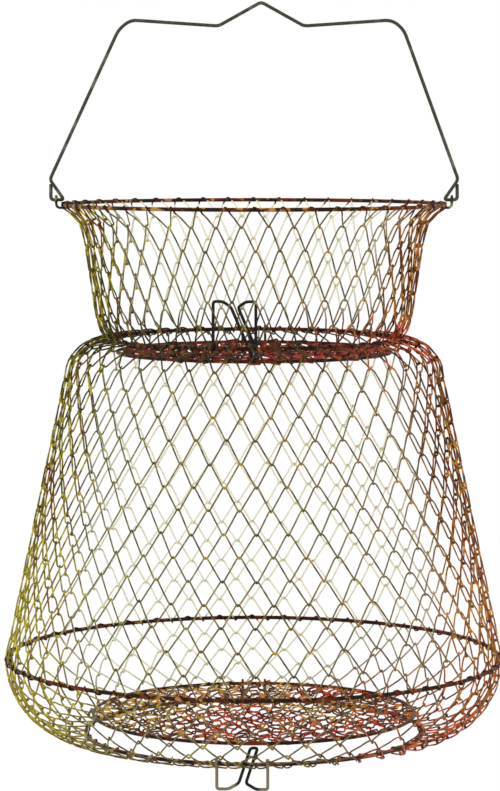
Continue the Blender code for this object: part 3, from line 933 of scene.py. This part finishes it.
class BASKET_OT_latches(bpy.types.Operator):
    """Adds the latches of the lid and the door"""

    bl_idname = "basket.latches"
    bl_label = "Add Latches"

    def seat(self, ring, rim, half_width, lean):
        """Where the tongue ends, (outward, up): on the line from the pivot to the rim's wire."""
        wire = bpy.context.scene.basket_wires
        pivot = ring.bow(half_width)
        inward = rim.radius - ring.radius + rim.bow(lean) - pivot
        offset = abs(rim.z - ring.z)
        span = hypot(inward, offset)
        reach = span - wire.rim - wire.latch - wire.tongue_gap
        return pivot + inward * reach / span, -offset * reach / span

    def mirrored(self, points):
        """The points on the latch's other side, in the order that the wire goes on there."""
        return [Vector((-p.x, p.y, p.z)) for p in reversed(points)]

    def route(self, ring, rim, half_width, reach, dent, lean):
        """The latch in (along, outward, up), as if it stood up over its ring."""
        wire = bpy.context.scene.basket_wires
        latch = bpy.context.scene.basket_latches
        curl = wire.hoop + wire.turning_gap + wire.latch
        pivot = ring.bow(half_width)
        post = pivot - curl
        behind_post = post - 2 * wire.latch - wire.post_gap
        foot = []
        turned = latch.curl
        while turned > 0:
            foot.append(Vector((-half_width, pivot - curl * cos(turned), -curl * sin(turned))))
            turned -= radians(CURL_STEP)
        posts = [
            Vector((-half_width, post, 0)),
            Vector((-half_width, post, reach)),
            Vector((-half_width * latch.shoulder_share, post, reach)),
            Vector((-latch.tongue_half_width, post, reach - dent)),
        ]
        tip = Vector((lean - latch.tongue_half_width, *self.seat(ring, rim, half_width, lean)))
        leaned = lean * (reach - dent - latch.mouth_rise) / (reach - dent - tip.z)
        mouth = Vector((leaned - latch.tongue_half_width, behind_post, latch.mouth_rise))
        across = Vector((2 * latch.tongue_half_width, 0, 0))
        tongue = [mouth, tip, tip + across, mouth + across]
        middle = [*posts, *tongue, *self.mirrored(posts)]
        return [*foot, *rounded(middle, [latch.bend] * len(middle)), *self.mirrored(foot)]

    def execute(self, context):
        latch = context.scene.basket_latches
        rings = hoops()
        lid = (latch.lid_half_width, latch.lid_reach, latch.lid_dent, latch.lid_lean)
        door = (latch.door_half_width, latch.door_reach, latch.door_dent, latch.door_lean)
        latches = (
            ("lid", "neck_ring", latch.lid_azimuth, 1, lid, "spring wire"),
            ("door", "base_ring", latch.door_azimuth, -1, door, "worn spring wire"),
        )
        radius = context.scene.basket_wires.latch
        for name, ring, azimuth, way, sizes, finish in latches:
            to_world = rings[ring].local_frame(azimuth)
            route = []
            for u, v, w in self.route(rings[ring], rings[f"{name}_rim"], *sizes):
                route.append(to_world(u, v, way * w))
            node_wire(f"{name}_latch", route, radius, f"{name}_latch", finish)
        return {"FINISHED"}


class BASKET_OT_clips(bpy.types.Operator):
    """Adds the hinge clips of the lid and the door, and the lid's spring"""

    bl_idname = "basket.clips"
    bl_label = "Add Hinge Clips and Spring"

    def clip(self, ring, rim, along):
        """A closed oval of wire around the ring and the rim together."""
        wire = bpy.context.scene.basket_wires
        to_world = ring.local_frame(BACK)
        bend = max(wire.hoop + wire.seat_gap, wire.rim + wire.turning_gap) + wire.clip
        start = Vector((ring.bow(along), 0))
        end = Vector((rim.radius - ring.radius + rim.bow(along), rim.z - ring.z))
        lie = atan2(end.y - start.y, end.x - start.x)
        route = []
        for centre, first in ((end, lie - pi / 2), (start, lie + pi / 2)):
            for degrees in range(0, 181, CURL_STEP):
                angle = first + radians(degrees)
                spot = centre + bend * Vector((cos(angle), sin(angle)))
                route.append(to_world(along, spot.x, spot.y))
        return route

    def spring(self, ring, rim):
        """A hook over the neck ring, a coil around the rim and an arm under the lid."""
        wire = bpy.context.scene.basket_wires
        nets = bpy.context.scene.basket_nets
        clips = bpy.context.scene.basket_clips
        to_world = ring.local_frame(BACK)
        coil = wire.rim + wire.turning_gap + wire.spring
        hook = wire.hoop + wire.seat_gap + wire.spring
        half = clips.spring_turns * clips.spring_pitch / 2
        over_ring = ((1, -1), (1, 0.5), (0.5, 1), (-0.5, 1), (-1, 0.5))
        route = [Vector((-half, out * hook, up * hook)) for out, up in over_ring]
        inset = rim.radius - ring.radius
        drop = rim.z - ring.z
        for step in range(clips.spring_turns * COIL_POINTS + COIL_POINTS // 4 + 1):
            angle = 2 * pi * step / COIL_POINTS
            along = -half + clips.spring_pitch * step / COIL_POINTS
            out = inset + rim.bow(along)
            route.append(Vector((along, out + coil * cos(angle), drop - coil * sin(angle))))
        below = nets.closure_depth + nets.sag / 2 + wire.closure + wire.seat_gap + wire.spring
        route.append(Vector((route[-1].x, inset - clips.spring_arm, drop - below)))
        return [to_world(*point) for point in route]

    def execute(self, context):
        clips = context.scene.basket_clips
        wire = context.scene.basket_wires
        rings = hoops()
        for name, body, ring in (("lid", "neck", "neck_ring"), ("door", "base", "base_ring")):
            for side, word in ((1, "left"), (-1, "right")):
                route = self.clip(rings[ring], rings[f"{name}_rim"], side * clips.half_spacing)
                node = f"{name}_clip_{word}"
                node_wire(node, route, wire.clip, body, "hoop lacquer", closed=True)
        route = self.spring(rings["neck_ring"], rings["lid_rim"])
        spring = wires(
            "lid_spring_wire", [route], wire.spring, None, "bail steel",
            "lid_spring",
        )
        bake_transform(spring)
        return {"FINISHED"}


class BASKET_OT_stage(bpy.types.Operator):
    """Adds the floor, the background, the lights and the camera"""

    bl_idname = "basket.stage"
    bl_label = "Add Stage"

    room_light = 0.9
    paper_glow = 1.02
    paper_share = 0.85
    film_height = 36.0
    view_depth = 100.0

    # Place, power and width of each lamp.
    lamps = {
        "key": ((-1.4, -1.8, 0.9), 12.0, 1.4),
        "fill": ((1.8, -1.2, 0.2), 5.0, 1.6),
    }

    def lamp(self, name, place, aim, power, width):
        data = bpy.data.lights.new(name, "AREA")
        data.energy = power
        data.size = width
        light = bpy.data.objects.new(name, data)
        light.location = place
        light.rotation_euler = (aim - Vector(place)).to_track_quat("-Z", "Y").to_euler()
        bpy.context.scene.collection.objects.link(light)

    def paper_world(self, paper):
        """White where the camera or a shiny surface looks, and a softer light elsewhere."""
        world = bpy.data.worlds.new("studio")
        bpy.context.scene.world = world
        world.use_nodes = True
        tree = world.node_tree
        camera = add_node(tree, "ShaderNodeLightPath", {}, {}, "Is Camera Ray")
        glossy = add_node(tree, "ShaderNodeLightPath", {}, {}, "Is Glossy Ray")
        strength = camera.maths("MAXIMUM", glossy) * (1.0 - self.room_light) + self.room_light
        background = tree.nodes["Background"]
        background.inputs["Color"].default_value = (*paper, 1.0)
        tree.links.new(strength.link, background.inputs["Strength"])

    def paper_floor(self, paper):
        """White paper that keeps the object's shadow: it shows bright to the camera, less what
        the shadow takes away."""
        finish = Finish("paper floor", metallic=0.0)
        finish.feed("Base Color", (*paper, 1.0))
        finish.feed("Roughness", 0.9)
        rays = finish.add("ShaderNodeLightPath", {}, {}, "Is Camera Ray")
        glow = {"Color": (*paper, 1.0), "Strength": self.paper_glow}
        shown = finish.add("ShaderNodeEmission", {}, glow)
        plain = Socket(finish.tree, finish.shader.outputs[0])
        shaders = {0: rays * self.paper_share, 1: plain, 2: shown}
        mixed = finish.add("ShaderNodeMixShader", {}, shaders)
        output = finish.tree.nodes["Material Output"]
        finish.tree.links.new(mixed.link, output.inputs["Surface"])
        return finish.material

    def floor(self, stage):
        """The level floor, which lies the floor drop below the basket."""
        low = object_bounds()[0]
        bpy.ops.mesh.primitive_plane_add(size=stage.floor_size)
        floor = bpy.context.object
        floor.name = "floor"
        floor.location = (0.0, 0.0, low[2] - stage.floor_drop)
        floor.data.materials.append(self.paper_floor(stage.paper))
        floor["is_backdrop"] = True

    def execute(self, context):
        stage = context.scene.basket_stage
        self.floor(stage)
        self.paper_world(stage.paper)
        aim = Vector((-stage.aim_across, 0.0, -stage.aim_drop))
        for name, (place, power, width) in self.lamps.items():
            self.lamp(name, place, aim, power, width)
        camera = bpy.data.objects.new("camera", bpy.data.cameras.new("camera"))
        context.scene.collection.objects.link(camera)
        camera.data.lens = stage.lens / MM
        camera.data.sensor_fit = "VERTICAL"
        camera.data.sensor_height = self.film_height
        camera.data.clip_end = self.view_depth
        back = Vector((0.0, -cos(stage.pitch), sin(stage.pitch)))
        camera.location = aim + back * stage.distance
        camera.rotation_euler = (pi / 2 - stage.pitch, 0.0, 0.0)
        context.scene.camera = camera
        context.scene.view_settings.view_transform = "Standard"
        return {"FINISHED"}


OPERATORS = (
    BASKET_OT_hoops,
    BASKET_OT_bail,
    BASKET_OT_ears,
    BASKET_OT_walls,
    BASKET_OT_closures,
    BASKET_OT_latches,
    BASKET_OT_clips,
    BASKET_OT_stage,
)


class BASKET_PT_panel(bpy.types.Panel):
    """Lists the basket's sizes and pieces"""

    bl_label = "Fish Basket"
    bl_idname = "BASKET_PT_panel"
    bl_space_type = "VIEW_3D"
    bl_region_type = "UI"
    bl_category = "Fish Basket"

    def draw(self, context):
        for name, group in GROUPS.items():
            box = self.layout.box()
            box.label(text=group.__doc__.rstrip("."))
            for field in group.__annotations__:
                box.prop(getattr(context.scene, name), field)
        for operator in OPERATORS:
            self.layout.operator(operator.bl_idname)


def register():
    for name, group in GROUPS.items():
        bpy.utils.register_class(group)
        setattr(bpy.types.Scene, name, bpy.props.PointerProperty(type=group))
    for kind in (*OPERATORS, BASKET_PT_panel):
        bpy.utils.register_class(kind)


def unregister():
    for kind in (BASKET_PT_panel, *reversed(OPERATORS)):
        bpy.utils.unregister_class(kind)
    for name, group in reversed(GROUPS.items()):
        delattr(bpy.types.Scene, name)
        bpy.utils.unregister_class(group)


def main():
    register()
    bpy.ops.basket.hoops()
    bpy.ops.basket.bail()
    bpy.ops.basket.ears()
    bpy.ops.basket.walls()
    bpy.ops.basket.closures()
    bpy.ops.basket.latches()
    bpy.ops.basket.clips()
    bpy.ops.basket.stage()
    boxes = {"cad": CAD_BOX, "visual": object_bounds()}
    plain = {name: [list(corner) for corner in box] for name, box in boxes.items()}


if __name__ == "__main__":
    main()
